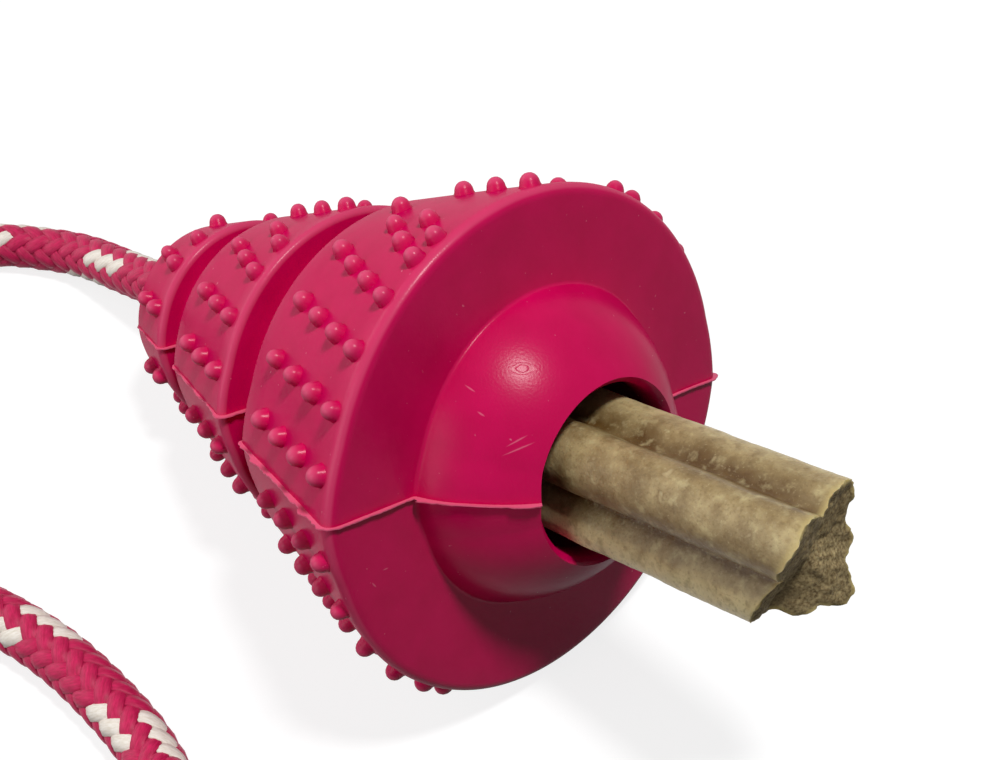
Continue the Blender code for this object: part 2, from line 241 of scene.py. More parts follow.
# Marks in millimetres: middle, direction along, way out of the surface, half length, half width, ring or not.
rubberMarks = {
    "ovalMark": ((19.17, -5.92, 53.77), (0.621, 0.783, -0.044), (0.387, -0.257, 0.884), 1.45, 0.75, 1.0),
    "upperScratch": ((23.59, -11.29, 48.36), (0.376, 0.869, 0.320), (0.578, -0.489, 0.650), 1.6, 0.12, 0.0),
    "lowerScratch": ((24.12, -11.56, 47.57), (0.450, 0.855, 0.257), (0.601, -0.501, 0.615), 2.3, 0.12, 0.0),
    "shortScratch": ((18.90, -12.66, 50.61), (0.927, 0.233, -0.294), (0.375, -0.549, 0.747), 0.6, 0.13, 0.0),
    "sideScratch": ((16.11, -11.73, 52.34), (0.967, 0.142, -0.211), (0.254, -0.508, 0.822), 0.9, 0.12, 0.0),
    "faceScratch": ((18.28, -30.56, 33.69), (0.245, 0.382, -0.891), (0.964, 0.0, 0.265), 0.6, 0.12, 0.0),
    "faceNick": ((18.02, -28.38, 34.62), (0.074, 0.960, -0.270), (0.964, 0.0, 0.265), 0.5, 0.11, 0.0),
}


def placeMark(tree, middle, along, outward, halfLength, halfWidth, ring):
    normal = Vector(outward).normalized()
    first = (Vector(along) - normal * Vector(along).dot(normal)).normalized()
    second = normal.cross(first)
    turn = Matrix((first, second, normal)).transposed().to_euler()
    lie = addNode(tree, "ShaderNodeMapping", {"vector_type": "TEXTURE"}, Vector=objectPlace(tree),
                  Location=[value * mm for value in middle], Rotation=turn)
    node = addNode(tree, "ShaderNodeGroup", {"node_tree": markGroup})
    feed(tree, node.inputs, (lie.outputs[0], halfLength * mm, halfWidth * mm, ring))
    return node.outputs[0]


# Materials

def makeRubber():
    material, tree, shader = newMaterial("pinkRubber")
    height, patches = placeGrain(tree, 3000.0, 210.0, 0.5)
    base = mixColours(tree, rangeOf(tree, patches, 0.3, 0.7), colour(195, 1, 78), colour(204, 3, 84))
    # Painted glow: the torn skin at the mould's joint is thin and passes more light, so it is painted paler.
    base = mixColours(tree, attributeOf(tree, "thinSkinGlow"), base, colour(224, 92, 128))
    # Painted sheen: the stage edges and nub tops are painted paler.
    sheenShare = addMath(tree, "MULTIPLY", attributeOf(tree, "paintedSheen"), 0.62)
    base = mixColours(tree, sheenShare, base, colour(222, 92, 128))
    # Painted shade: the bore is painted dark behind its lip.
    shadeShare = addMath(tree, "MULTIPLY", attributeOf(tree, "boreShade"), 0.92)
    base = mixColours(tree, shadeShare, base, colour(40, 6, 18))
    # Fine pale dust and a few scuffs.
    specks = rangeOf(tree, noiseOf(tree, objectPlace(tree), 1500.0, 1.0), 0.775, 0.83, 0.0, 0.55)
    base = mixColours(tree, specks, base, colour(226, 130, 158))
    for mark in rubberMarks.values():
        mask = placeMark(tree, *mark)
        ring = mark[-1] > 0.5
        tone = colour(205, 84, 108) if ring else colour(232, 120, 150)
        base = mixColours(tree, addMath(tree, "MULTIPLY", mask, 0.5), base, tone)
        height = addMath(tree, "ADD", height, addMath(tree, "MULTIPLY", mask, -1.5 if ring else 0.5))
    bump = addNode(tree, "ShaderNodeBump", Strength=0.2, Distance=0.0001, Height=height).outputs[0]
    setInputs(tree, shader, Base_Color=base, Roughness=0.5, Normal=bump, Coat_Normal=bump,
              Specular_IOR_Level=0.0, Coat_Weight=0.28, Coat_Roughness=0.27)
    return material


def makeYarn():
    material, tree, shader = newMaterial("braidedYarn")
    along = addNode(tree, "ShaderNodeUVMap", {"uv_map": "yarn"}).outputs[0]
    stretch = addNode(tree, "ShaderNodeMapping", Vector=along, Scale=(14.0, 1.1, 1.0))
    filaments = addNode(tree, "ShaderNodeTexNoise", Vector=stretch.outputs[0], Scale=2.2, Detail=4.0,
                        Roughness=0.6).outputs[0]
    tone = rangeOf(tree, filaments, 0.3, 0.7)
    # Painted shade: the edges of each bundle, where it dips between its neighbours, are painted darker.
    edge = attributeOf(tree, "bundleEdgeShade")
    crimson = mixColours(tree, tone, colour(168, 0, 62), colour(214, 28, 94))
    crimson = mixColours(tree, addMath(tree, "MULTIPLY", edge, 0.75), crimson, colour(118, 0, 42))
    ivory = mixColours(tree, tone, colour(226, 216, 200), colour(255, 250, 242))
    ivory = mixColours(tree, addMath(tree, "MULTIPLY", edge, 0.5), ivory, colour(176, 150, 132))
    base = mixColours(tree, attributeOf(tree, "cream"), crimson, ivory)
    bump = addNode(tree, "ShaderNodeBump", Strength=0.5, Distance=0.00012, Height=filaments).outputs[0]
    setInputs(tree, shader, Base_Color=base, Roughness=0.5, Normal=bump, Specular_IOR_Level=0.3,
              Sheen_Weight=0.25, Sheen_Roughness=0.4, Sheen_Tint=colour(245, 170, 190))
    return material


def makeTreat():
    # Pressed meal: waxy and pale on the ridges, brown in the grooves, dark and coarse where it is torn, with
    # painted light on the ridges facing the lamps and painted shade in the grooves.
    material, tree, shader = newMaterial("chewTreat")
    height, patches = placeGrain(tree, 2300.0, 260.0, 0.8)
    place = objectPlace(tree)
    browningAndShading = attributeOf(tree, "browningAndShading")
    torn = attributeOf(tree, "tornEnd")
    cloud = rangeOf(tree, patches, 0.3, 0.7, -0.3, 0.3)
    # Painted shade and light: the tone darkens in the grooves, where shade falls, and turns pale on the
    # ridges facing the lamps.
    deep = addNode(tree, "ShaderNodeClamp", Value=addMath(tree, "ADD", browningAndShading, cloud)).outputs[0]
    base = mixColours(tree, deep, colour(182, 162, 116), colour(92, 66, 30))
    pale = addMath(tree, "MULTIPLY_ADD", cloud, 0.6, browningAndShading)
    pale = addNode(tree, "ShaderNodeClamp", Value=addMath(tree, "MULTIPLY", pale, -1.0)).outputs[0]
    base = mixColours(tree, pale, base, colour(238, 224, 172))
    mottle = noiseOf(tree, place, 700.0, 3.0)
    fine = noiseOf(tree, place, 2600.0, 2.0)
    flakes = noiseOf(tree, place, 520.0, 1.0)
    # Spots: a noise, the two values between which it fades, its share at each of them, and its tone.
    for grain, low, high, atLow, atHigh, tone in (
        (mottle, 0.3, 0.5, 0.45, 0.0, (112, 86, 44)),
        (mottle, 0.55, 0.75, 0.0, 0.5, (204, 190, 142)),
        (fine, 0.3, 0.46, 0.3, 0.0, (96, 74, 38)),
        (fine, 0.62, 0.8, 0.0, 0.3, (214, 202, 158)),
        (flakes, 0.71, 0.78, 0.0, 0.4, (212, 196, 152)),
    ):
        base = mixColours(tree, rangeOf(tree, grain, low, high, atLow, atHigh), base, colour(*tone))
    meal = mixColours(tree, rangeOf(tree, fine, 0.3, 0.72), colour(92, 74, 44), colour(184, 164, 120))
    meal = mixColours(tree, rangeOf(tree, patches, 0.4, 0.65, 0.0, 0.5), meal, colour(78, 62, 34))
    base = mixColours(tree, torn, base, meal)
    # Painted glow: the thin edge of the break lets light through, and is painted as a pale rim.
    thin = addMath(tree, "MULTIPLY", attributeOf(tree, "thinEdgeGlow"), 0.75)
    base = mixColours(tree, thin, base, colour(206, 186, 122))
    bump = addNode(tree, "ShaderNodeBump", Strength=0.3, Distance=0.00025, Height=height).outputs[0]
    setInputs(tree, shader, Base_Color=base, Roughness=rangeOf(tree, torn, 0.0, 1.0, 0.4, 0.8), Normal=bump,
              Specular_IOR_Level=0.35, Subsurface_Weight=0.15, Subsurface_Radius=(0.002, 0.0012, 0.0006),
              Subsurface_Scale=0.5)
    return material


def makeMelted():
    material, tree, shader = newMaterial("meltedYarn")
    setInputs(tree, shader, Base_Color=colour(142, 8, 54), Roughness=0.35)
    return material


rubberMaterial = makeRubber()
yarnMaterial = makeYarn()
treatMaterial = makeTreat()
meltedMaterial = makeMelted()
print("materials made")


coneShape = {
    "rimRadius": 35.0 * mm,
    "length": 78.6 * mm,
    "noseRadius": 13.4 * mm,
}


# Rope: its route, the two knots and the braid

rope = {
    "radius": 4.0 * mm,
    "restHeight": 4.1 * mm,
    "strandsEachWay": 8,
    "pickPitch": 3.3 * mm,
    "creamStrands": (0, 1, 2),
    "strandRadius": 3.24 * mm,
    "swell": 0.26 * mm,
    "sharpness": 2.0,
    "halfWidth": 1.18 * mm,
    "widerOnTop": 0.1,
    "halfThickness": 0.5 * mm,
    "acrossPower": 0.8,
    "thickPower": 0.9,
    "patternShift": 0.37,
    "strandSides": 8,
    "coreRadius": 2.9 * mm,
    "coreSides": 16,
    "coreStep": 1.5 * mm,
    "pathStep": 0.8 * mm,
    "pointsInNose": 12,
    "startTurn": -8.0,
    "startShift": 1.1 * mm,
    # The bend draws the braid out: how far along from the nose it starts, over which length, and by how much.
    "drawnFrom": 25 * mm,
    "drawnOver": 90 * mm,
    "drawnOut": 12.7 * mm,
}

# The part's own points for the route, in millimetres: along the toy, across it from the nose, and up.
ropeRoute = (
    (-25.0, -0.1, 7.8), (-36.5, -0.7, 5.0), (-44.3, -3.7, 4.1), (-52.0, -9.4, 4.0), (-60.5, -20.0, 4.0),
    (-64.0, -34.0, 4.0), (-60.0, -48.5, 4.0), (-49.0, -59.5, 4.0), (-34.0, -65.5, 4.0), (-18.0, -66.8, 4.0),
    (-2.0, -64.2, 4.0), (12.0, -60.1, 4.0), (25.4, -56.2, 4.0), (37.3, -54.4, 4.0), (51.4, -54.5, 4.0),
    (61.0, -56.2, 4.6), (70.0, -59.2, 7.8),
)
knotPlace = {
    "entry": (88.0, -65.8),
    "headingDegrees": -20.2,
    "thinning": 0.94,
    "ropeShare": 0.95,
    "floorGap": 0.2 * mm,
    "tailLength": 21.3 * mm,
    "tailStart": 4 * mm,
    "tailDropBy": 2 * mm,
    "lastBefore": 0.4,
    "blend": 6,
}


def runAlong(points):
    # How far along it each point of a path is.
    return np.concatenate([[0], np.cumsum(np.linalg.norm(np.diff(points, axis=0), axis=1))])


def readAlong(wanted, runs, table):
    return np.stack([np.interp(wanted, runs, column) for column in table.T], -1)


def smoothCurve(points, spacing):
    # A smooth curve through the points, read again at an even spacing.
    points = np.asarray(points, float)
    padded = np.vstack([points[:1], points, points[-1:]])
    t = np.linspace(0, 1, 24, endpoint=False)[:, None]
    runs = []
    for a, b, c, d in zip(padded, padded[1:], padded[2:], padded[3:]):
        bend = (2 * a - 5 * b + 4 * c - d) * t**2 + (3 * b - a - 3 * c + d) * t**3
        runs.append(0.5 * (2 * b + (c - a) * t + bend))
    fine = np.vstack(runs + [points[-1:]])
    lengths = runAlong(fine)
    count = max(2, round(lengths[-1] / spacing))
    return readAlong(np.linspace(0, lengths[-1], count + 1), lengths, fine)


overhand = {
    # All in diameters of the rope: the loose curve, the links it is cut into, and how it is drawn tight.
    "span": 2.12,
    "samples": 40,
    "long": 0.13,
    "high": 0.6,
    "link": 0.36,
    "straightLinks": 6,
    "rounds": 1500,
    "pullRounds": 1275,
    "pull": 0.014,
    "mostStretch": 1.08,
    "centring": 0.9,
    "smoothing": 0.1,
    "sweeps": 3,
    "push": 0.4,
    "loopLeast": 2.0,
    "near": 1.5,
    "touching": 1.12,
    "lookRounds": 25,
    "spareLinks": 3,
}


def loopPairs(chain, nearest):
    # The links that lie on different loops of the knot and are nearer to each other than this.
    first = math.ceil(overhand["loopLeast"] / overhand["link"])
    pairs = []
    for i in range(len(chain)):
        for j in range(i + first, len(chain)):
            if (chain[j] - chain[i]).length < nearest:
                pairs.append((i, j))
    return pairs


def looseOverhand():
    loose = []
    for i in range(overhand["samples"] + 1):
        t = overhand["span"] * (2 * i / overhand["samples"] - 1)
        loose.append(((t**5 - 10 * t) * overhand["long"], t**3 - 3 * t, (t**4 - 4 * t**2) * overhand["high"]))
    chain = [Vector(point) for point in smoothCurve(loose, overhand["link"])]
    count = overhand["straightLinks"]
    step = Vector((overhand["link"], 0.0, 0.0))
    before = [chain[0] - step * (count - i) for i in range(count)]
    return before + chain + [chain[-1] + step * (i + 1) for i in range(count)]


def tightOverhand():
    # The loose knot is pulled by its ends while its links are kept apart, as in the part.
    chain = looseOverhand()
    last = len(chain) - 1
    link = overhand["link"]
    for turn in range(overhand["rounds"]):
        if turn % overhand["lookRounds"] == 0:
            pairs = loopPairs(chain, overhand["near"])
        longest = max((after - before).length for before, after in zip(chain, chain[1:]))
        if longest < overhand["mostStretch"] * link and turn < overhand["pullRounds"]:
            for i, way in ((0, -1), (1, -1), (last - 1, 1), (last, 1)):
                chain[i].x += way * overhand["pull"]
        for i in (0, 1, last - 1, last):
            chain[i].y *= overhand["centring"]
            chain[i].z *= overhand["centring"]
        bends = [overhand["smoothing"] * (a + c - 2 * b) for a, b, c in zip(chain, chain[1:], chain[2:])]
        for i, bend in enumerate(bends):
            chain[i + 1] += bend
        for sweep in range(overhand["sweeps"]):
            for i in range(last):
                gap = chain[i + 1] - chain[i]
                move = gap * (0.5 * (gap.length - link) / gap.length)
                chain[i] += move
                chain[i + 1] -= move
        for i, j in pairs:
            gap = chain[j] - chain[i]
            if gap.length < 1.0:
                push = gap * (overhand["push"] * (1.0 - gap.length) / gap.length)
                chain[i] -= push
                chain[j] += push
    touching = sorted({i for pair in loopPairs(chain, overhand["touching"]) for i in pair})
    knot = chain[touching[0] - overhand["spareLinks"]:touching[-1] + 1 + overhand["spareLinks"]]
    knot[0] = knot[1] - Vector((link, 0.0, 0.0))
    knot[-1] = knot[-2] + Vector((link, 0.0, 0.0))
    return np.array([tuple(point) for point in knot])


tightKnot = tightOverhand()
print("knot tightened:", len(tightKnot), "links")


def addAttribute(mesh, name, values):
    mesh.attributes.new(name, "FLOAT", "POINT").data.foreach_set("value", np.asarray(values, "f"))


def carriedFrames(path):
    # Tangent, side and upright at each point, with the side carried along the path without twist.
    tangent = np.gradient(path, axis=0)
    tangent /= np.linalg.norm(tangent, axis=1, keepdims=True)
    side = np.zeros_like(path)
    start = np.cross(tangent[0], [0.0, 0.0, 1.0])
    side[0] = start / np.linalg.norm(start)
    for i in range(1, len(path)):
        carried = side[i - 1] - tangent[i] * side[i - 1].dot(tangent[i])
        side[i] = carried / np.linalg.norm(carried)
    return tangent, side, np.cross(tangent, side)


def addBraid(name, first, last, sampleStep, sections):
    # One stretch of braid: strands wind both ways round a core, each over two of the others and under two.
    path = ropePath[first:last + 1]
    side = ropeSide[first:last + 1]
    upright = ropeUpright[first:last + 1]
    shares = ropeShares[first:last + 1]
    startAt = ropeRun[first]
    lengths = ropeRun[first:last + 1] - startAt
    total = lengths[-1]
    count = rope["strandsEachWay"]
    lay = count * rope["pickPitch"]
    vertices, faces, uvs, creams, edges = [], [], [], [], []

    def at(run, angle, radius):
        radius = radius * np.interp(run, lengths, shares)
        across = readAlong(run, lengths, side) * (radius * np.cos(angle))[..., None]
        up = readAlong(run, lengths, upright) * (radius * np.sin(angle))[..., None]
        return readAlong(run, lengths, path) + across + up

    def addTube(rings, cream, roundUv, alongUv, edge):
        base = sum(len(v) for v in vertices)
        rows, size = rings.shape[:2]
        vertices.append(rings.reshape(-1, 3))
        for row in range(rows - 1):
            for i in range(size):
                j = (i + 1) % size
                a = base + row * size
                faces.append((a + i, a + j, a + size + j, a + size + i))
                left, right = roundUv[i], roundUv[i + 1]
                low, high = alongUv[row], alongUv[row + 1]
                uvs.extend(((left, low), (right, low), (right, high), (left, high)))
        faces.append(tuple(base + i for i in reversed(range(size))))
        uvs.extend((roundUv[i], alongUv[0]) for i in reversed(range(size)))
        faces.append(tuple(base + (rows - 1) * size + i for i in range(size)))
        uvs.extend((roundUv[i], alongUv[-1]) for i in range(size))
        creams.extend([cream] * (rows * size))
        edges.extend(list(edge) * rows)

    run = np.arange(0, total + sampleStep / 2, sampleStep)
    run = run * total / run[-1]
    drawn = np.clip((run + startAt - ropeRun[atNose] - rope["drawnFrom"]) / rope["drawnOver"], 0, 1)
    world = run + startAt + rope["startShift"] - rope["drawnOut"] * drawn
    turn = 2 * math.pi * np.arange(sections) / sections
    across = np.sign(np.cos(turn)) * np.abs(np.cos(turn)) ** rope["acrossPower"]
    thick = np.sign(np.sin(turn)) * np.abs(np.sin(turn)) ** rope["thickPower"]
    roundUv = np.linspace(0, 1, sections + 1)
    for way in (1, -1):
        for strand in range(count):
            around = way * 2 * math.pi * world / lay + 2 * math.pi * strand / count
            angle = around + math.radians(rope["startTurn"])
            up = way * np.cos(count / 2 * around - math.pi / 4)
            lift = np.tanh(rope["sharpness"] * up) / math.tanh(rope["sharpness"])
            radius = rope["strandRadius"] + rope["swell"] * lift
            half = rope["halfWidth"] * (1 + rope["widerOnTop"] * lift)
            slope = math.atan2(2 * math.pi * rope["strandRadius"], lay)
            sideways = half[:, None] * across[None, :]
            high = radius[:, None] + rope["halfThickness"] * thick[None, :]
            # A flat bundle bends round the core, so its edges keep their height over the axis.
            angles = angle[:, None] + sideways * math.cos(slope) / rope["strandRadius"]
            runs = np.clip(run[:, None] - way * sideways * math.sin(slope), 0, total)
            rings = at(runs, angles, high)
            cream = 1.0 if way < 0 and strand in rope["creamStrands"] else 0.0
            # Each strand has its own part of the yarn's pattern.
            offset = rope["patternShift"] * (strand + 7 * (way > 0))
            # The last value marks the bundle's edges for painted shade.
            addTube(rings, cream, roundUv + offset, world / (rope["halfWidth"] * 2), np.cos(turn) ** 4)
    sides = rope["coreSides"]
    coreRun = run[::max(1, int(rope["coreStep"] / sampleStep))]
    if coreRun[-1] != run[-1]:
        coreRun = np.append(coreRun, run[-1])
    coreRuns, coreTurns = np.meshgrid(coreRun, 2 * math.pi * np.arange(sides) / sides, indexing="ij")
    rings = at(coreRuns, coreTurns, np.full(coreRuns.shape, rope["coreRadius"]))
    # The core, seen only between the strands, is marked as fully shaded for painted shade.
    addTube(rings, 0.0, np.linspace(0, 1, sides + 1), coreRun / (rope["halfWidth"] * 2), [1.0] * sides)

    mesh = bpy.data.meshes.new(name)
    mesh.from_pydata(np.vstack(vertices).tolist(), [], faces)
    layer = mesh.uv_layers.new(name="yarn")
    layer.data.foreach_set("uv", np.asarray(uvs, "f").ravel())
    addAttribute(mesh, "cream", creams)
    addAttribute(mesh, "bundleEdgeShade", edges)
    mesh.polygons.foreach_set("use_smooth", [True] * len(mesh.polygons))
    shape = bmesh.new()
    shape.from_mesh(mesh)
    bmesh.ops.recalc_face_normals(shape, faces=shape.faces)
    shape.to_mesh(mesh)
    shape.free()
    mesh.materials.append(yarnMaterial)
    return addObject(name, mesh), total


stopper = {
    "boreDepth": 50 * mm,
    "depth": 41.6 * mm,
    "share": 0.7,
    "fill": 1.04,
    "dropLinks": 2,
    "neckDepths": (53 * mm, 62 * mm, 70 * mm),
    "fullAgain": 3 * mm,
    "outOfNose": 8 * mm,
}


def layRope():
    # One rope from the stopper knot to its tail: its points, its thickness, and where its stretches meet.
    sideways, upwards, axis = np.array(coneFrame.to_3x3().transposed())
    rim = np.array(coneLie["rimCentre"])
    nose = rim - axis * coneShape["length"]
    floorUnder = np.array((nose[0], 0.0, 0.0))
    thick = rope["radius"] * 2

    # The stopper knot sits in the bore, squeezed by it, with its short end towards the mouth.
    local = tightKnot[stopper["dropLinks"]:-stopper["dropLinks"]]
    middle = (local.min(axis=0) + local.max(axis=0)) / 2
    local = (local - middle) * thick * stopper["share"]
    inBore = rim - axis * (stopper["depth"] + local[:, :1])
    inBore = inBore + local[:, 1:2] * sideways + local[:, 2:] * upwards

    # The end knot lies on the floor, bottom up, and the rope rises to meet it.
    turn = math.radians(knotPlace["headingDegrees"])
    heading = np.array((math.cos(turn), math.sin(turn), 0.0))
    across = np.array((-heading[1], heading[0], 0.0))
    up = np.array((0.0, 0.0, 1.0))
    local = (tightKnot - tightKnot[0]) * thick * knotPlace["thinning"]
    height = float(local[:, 2].max()) + rope["radius"] * knotPlace["thinning"] * knotPlace["ropeShare"]
    entry = floorUnder + np.array((*knotPlace["entry"], 0.0)) * mm + up * (height + knotPlace["floorGap"])
    knot = entry + local[:, :1] * heading - local[:, 1:2] * across - local[:, 2:] * up

    points = list(inBore)
    points += [rim - axis * depth for depth in stopper["neckDepths"]]
    points += [nose, nose - axis * stopper["outOfNose"]]
    for place in ropeRoute:
        point = floorUnder + np.array(place) * mm
        point[2] = max(point[2], rope["restHeight"])
        points.append(point)
    points += [entry - heading * thick, entry - heading * thick * knotPlace["lastBefore"]]
    points += list(knot)
    drop = rope["restHeight"] - knot[-1][2]
    tail = knotPlace["tailLength"]
    for far, share in ((knotPlace["tailStart"], 0.0), (tail / 2 + knotPlace["tailDropBy"], 0.5), (tail, 1.0)):
        points.append(knot[-1] + heading * far + up * drop * share)
    path = smoothCurve(points, rope["pathStep"])

    def nearest(place):
        return int(np.argmin(np.linalg.norm(path - place, axis=1)))

    atNose, atKnot, atTail = nearest(nose), nearest(entry), nearest(knot[-1])
    atNeck = nearest(rim - axis * (stopper["boreDepth"] + stopper["fullAgain"]))
    shares = np.ones(len(path))
    shares[:atNeck] = stopper["share"] * stopper["fill"]
    # One thickness passes into the next over this many points each way.
    blend = knotPlace["blend"]
    shares[atKnot + blend:atTail - blend] = knotPlace["thinning"]
    window = 2 * blend + 1
    shares = np.convolve(np.pad(shares, blend, mode="edge"), np.ones(window) / window, mode="valid")
    return path, shares, atNose, atKnot, nose


ropePath, ropeShares, atNose, atKnot, nosePoint = layRope()
ropeTangent, ropeSide, ropeUpright = carriedFrames(ropePath)
ropeRun = runAlong(ropePath)
leadStart = atNose - rope["pointsInNose"]
leadPiece, leadLength = addBraid("ropeLead", leadStart, atKnot, 0.5 * mm, rope["strandSides"])
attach(leadPiece, "toy_body")
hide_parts("rope_lead", "rope_neck")
print("rope lead:", round(leadLength, 4))
farPiece, farLength = addBraid("ropeEndKnot", atKnot, len(ropePath) - 1, 0.55 * mm, rope["strandSides"])
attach(farPiece, "toy_body")
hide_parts("rope_end_knot", "rope_tail")
print("end knot and tail:", round(farLength, 4))
innerPiece, innerLength = addBraid("ropeStopperKnot", 0, leadStart, 0.6 * mm, 6)
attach(innerPiece, "toy_body")
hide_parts("rope_stopper_knot")
print("stopper knot:", round(innerLength, 4))


# Modelling helpers

def pickPiece(piece):
    bpy.ops.object.select_all(action="DESELECT")
    piece.select_set(True)
    bpy.context.view_layer.objects.active = piece


def editPiece(piece):
    pickPiece(piece)
    bpy.ops.object.mode_set(mode="EDIT")


def startPiece(name, add, **values):
    # A new primitive on the origin, in edit mode and selected all over.
    bpy.ops.object.select_all(action="DESELECT")
    add(location=(0, 0, 0), **values)
    piece = bpy.context.object
    piece.name = name
    bpy.ops.object.mode_set(mode="EDIT")
    bpy.ops.mesh.select_all(action="SELECT")
    return piece


def extrudeBy(x, y, z):
    bpy.ops.mesh.extrude_region_move(TRANSFORM_OT_translate={"value": (x, y, z)})


def endPiece():
    # All faces are turned outwards, and edit mode ends.
    bpy.ops.mesh.select_all(action="SELECT")
    bpy.ops.mesh.normals_make_consistent(inside=False)
    bpy.ops.object.mode_set(mode="OBJECT")


def selectWhere(piece, kind, test):
    # Selects the vertices, edges or faces of the piece in edit mode that pass the test.
    shape = bmesh.from_edit_mesh(piece.data)
    bpy.ops.mesh.select_all(action="DESELECT")
    bpy.ops.mesh.select_mode(type={"verts": "VERT", "edges": "EDGE", "faces": "FACE"}[kind])
    for part in getattr(shape, kind):
        if test(part):
            part.select_set(True)
    shape.select_flush_mode()
    bmesh.update_edit_mesh(piece.data)


def roughen(piece, amount, scale):
    # Hand-made unevenness: the whole surface wanders a little.
    for vert in piece.data.vertices:
        vert.co += noise.noise_vector(vert.co * scale) * amount


def dressPiece(piece, smoothDegrees, material):
    bpy.ops.object.shade_smooth_by_angle(angle=math.radians(smoothDegrees))
    piece.data.materials.clear()
    piece.data.materials.append(material)


# Rubber cone, in its own frame until it is placed

cone = {
    "turnSteps": 176,
    "ropeHole": 4.3 * mm,
    "boreRadius": 10.1 * mm,
    "boreDepth": 50 * mm,
    "mouthTaper": 13 * mm,
    "mouthRadius": 11.65 * mm,
    "lip": 0.8 * mm,
    "domeHeight": 11.6 * mm,
    "domeBase": 21.7 * mm,
    "domeSteps": 22,
    "nearGroove": (28.2 * mm, 37.3 * mm, 18.8 * mm),
    "farGroove": (58.4 * mm, 66.1 * mm, 12.8 * mm),
    "rimRound": 1.9 * mm,
    "stageRound": 1.25 * mm,
    "edgeRound": 0.45 * mm,
    "floorRound": 1.0 * mm,
    "longestEdge": 2.6 * mm,
    "ridge": 0.9 * mm,
    "domeRidge": 0.5 * mm,
    "ridgeHalfAngle": 16,
    "ridgeGrowth": 1.6,
    "domeRidgeOver": 2 * mm,
    "sheenWidth": 2.2 * mm,
    "shadeFade": 0.8 * mm,
    "wobble": 0.12 * mm,
    "wobbleScale": 45.0,
}
flankSlope = (coneShape["rimRadius"] - coneShape["noseRadius"]) / coneShape["length"]


def flankRadius(depth):
    return coneShape["rimRadius"] - depth * flankSlope


def coneCorners():
    # The half section's corners with their roundings: dome, face, rim, stages and grooves, then the inside.
    height = cone["domeHeight"]
    lipRadius = cone["mouthRadius"] + cone["lip"]
    centre = (height**2 + lipRadius**2 - cone["domeBase"]**2) / (2 * height)
    radius = math.hypot(cone["domeBase"], centre)
    start = math.atan2(height - centre, lipRadius)
    end = math.atan2(-centre, cone["domeBase"])
    corners = []
    for step in range(cone["domeSteps"] + 1):
        angle = start + (end - start) * step / cone["domeSteps"]
        corners.append((radius * math.cos(angle), centre + radius * math.sin(angle), 0.0))
    corners[-1] = (cone["domeBase"], 0.0, 0.35 * mm)
    corners.append((coneShape["rimRadius"], 0.0, cone["rimRound"]))
    for begin, stop, floorRadius in (cone["nearGroove"], cone["farGroove"]):
        corners.append((flankRadius(begin), -begin, cone["edgeRound"]))
        corners.append((floorRadius, -begin, cone["floorRound"]))
        corners.append((floorRadius, -stop, cone["floorRound"]))
        corners.append((flankRadius(stop), -stop, cone["stageRound"]))
    return corners + [
        (coneShape["noseRadius"], -coneShape["length"], cone["stageRound"]),
        (cone["ropeHole"], -coneShape["length"], cone["edgeRound"]),
        (cone["ropeHole"], -cone["boreDepth"], 0.0),
        (cone["boreRadius"], -cone["boreDepth"], 0.0),
        (cone["boreRadius"], height - cone["mouthTaper"], 0.0),
        (cone["mouthRadius"], height - cone["lip"], 0.0),
    ]


def drawChain(name, corners):
    # A closed outline in the XZ plane: one vertex, extruded from corner to corner, then each corner rounded.
    piece = startPiece(name, bpy.ops.mesh.primitive_plane_add, size=mm)
    bpy.ops.mesh.merge(type="CENTER")
    bpy.ops.transform.translate(value=(corners[0][0], 0, corners[0][1]))
    for before, after in zip(corners, corners[1:] + corners[:1]):
        extrudeBy(after[0] - before[0], 0, after[1] - before[1])
    bpy.ops.mesh.select_all(action="SELECT")
    bpy.ops.mesh.remove_doubles(threshold=0.01 * mm)
    for rounding in sorted({corner[2] for corner in corners} - {0.0}):
        places = [Vector((x, 0, z)) for x, z, own in corners if own == rounding]
        selectWhere(piece, "verts",
                    lambda part: any((part.co - place).length < 0.02 * mm for place in places))
        steps = 7 if rounding > mm else 4
        bpy.ops.mesh.bevel(affect="VERTICES", offset=rounding, offset_type="OFFSET", segments=steps)
    bpy.ops.object.mode_set(mode="OBJECT")
    return piece


def splitLong(piece, longest):
    editPiece(piece)
    # Each round cuts the edges that are still too long for the number of cuts.
    for cuts in (7, 3, 1):
        selectWhere(piece, "edges", lambda part: part.calc_length() > longest * (cuts + 1) / 1.5)
        bpy.ops.mesh.subdivide(number_cuts=cuts)
    bpy.ops.object.mode_set(mode="OBJECT")


def turnChain(piece):
    editPiece(piece)
    bpy.ops.mesh.select_all(action="SELECT")
    bpy.ops.mesh.spin(steps=cone["turnSteps"], angle=2 * math.pi, center=(0, 0, 0), axis=(0, 0, 1))
    bpy.ops.mesh.select_all(action="SELECT")
    bpy.ops.mesh.remove_doubles(threshold=0.01 * mm)
    endPiece()


nub = {
    "sides": 14,
    # Heights over the skin and radii, in millimetres, from the buried foot up, and what the tip adds.
    "levels": ((-0.9, 1.45), (0.0, 1.43), (0.3, 1.3), (0.75, 1.22), (1.15, 1.06), (1.48, 0.78), (1.7, 0.42)),
    "tip": 0.06,
    "sheenFrom": 0.6,
    "rowOffset": 5.6 * mm,
    "rowPitch": 7.8 * mm,
    "highestShare": 0.985,
    "middleShare": 0.9,
    "endMargin": 4.5 * mm,
    # For each stage: the first nub's depth, the pitch along the row, and the depth where the stage ends.
    "stages": (
        (2.9 * mm, 6.15 * mm, 28.2 * mm),
        (40.2 * mm, 5.9 * mm, 58.4 * mm),
        (69.0 * mm, 4.8 * mm, 78.6 * mm),
    ),
    "sizeSpread": 0.05,
    "seed": 11,
}


